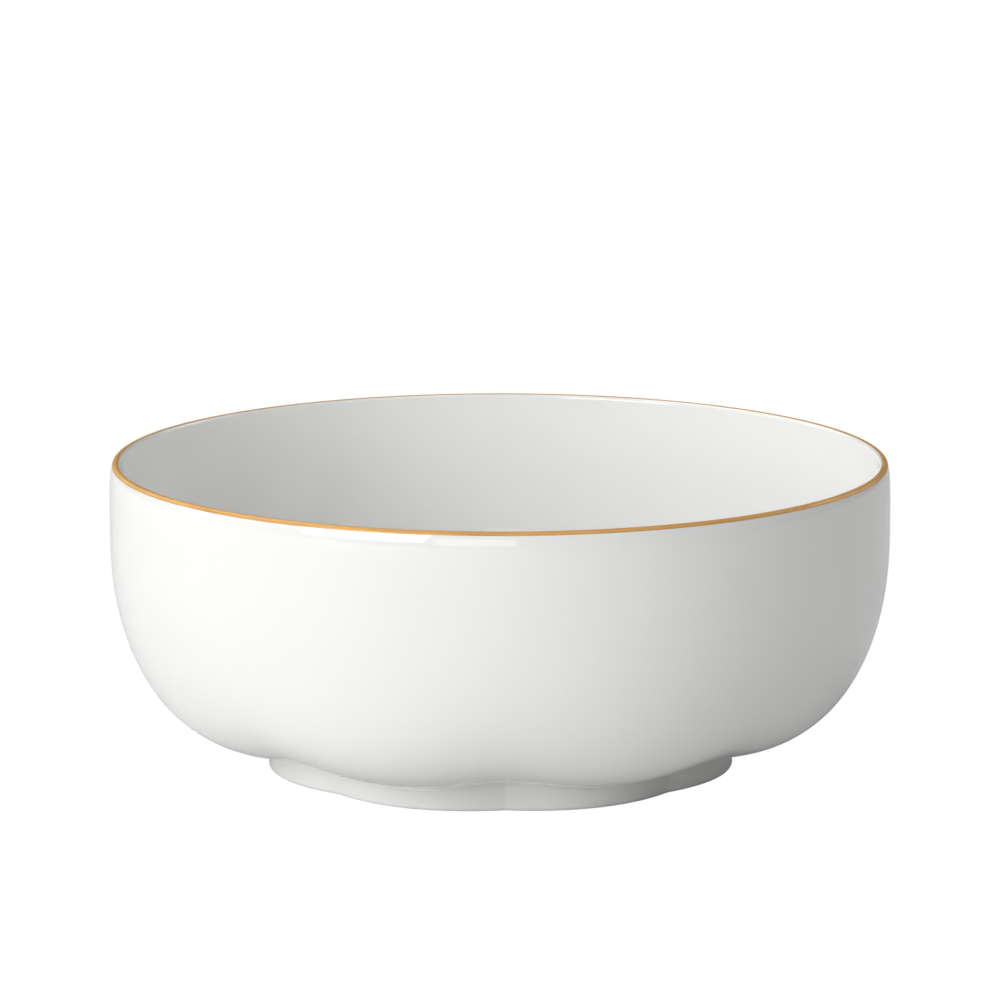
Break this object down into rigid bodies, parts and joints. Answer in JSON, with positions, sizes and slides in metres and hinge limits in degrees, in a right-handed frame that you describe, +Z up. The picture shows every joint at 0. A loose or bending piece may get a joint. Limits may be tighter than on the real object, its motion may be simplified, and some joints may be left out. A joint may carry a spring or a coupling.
{
  "type": "serving bowl",
  "caption": "Round porcelain serving bowl with a gilt lip, a full round wall that melts into soft petals below, and a petal-shaped foot ring.",
  "frame": {"origin": "on the table, at the middle of the foot ring", "axes": "+Z up along the bowl's axis; a valley between two petals faces -Y"},
  "size_m": [0.24, 0.24, 0.094],
  "materials": {
    "porcelain": "clear glossy glaze on white hard porcelain",
    "gilding": "burnished gold lustre, brushed on by hand"
  },
  "bodies": {
    "root": {"bowl_body": "porcelain", "foot_ring": "porcelain", "gilt_rim": "gilding"}
  },
  "joints": []
}
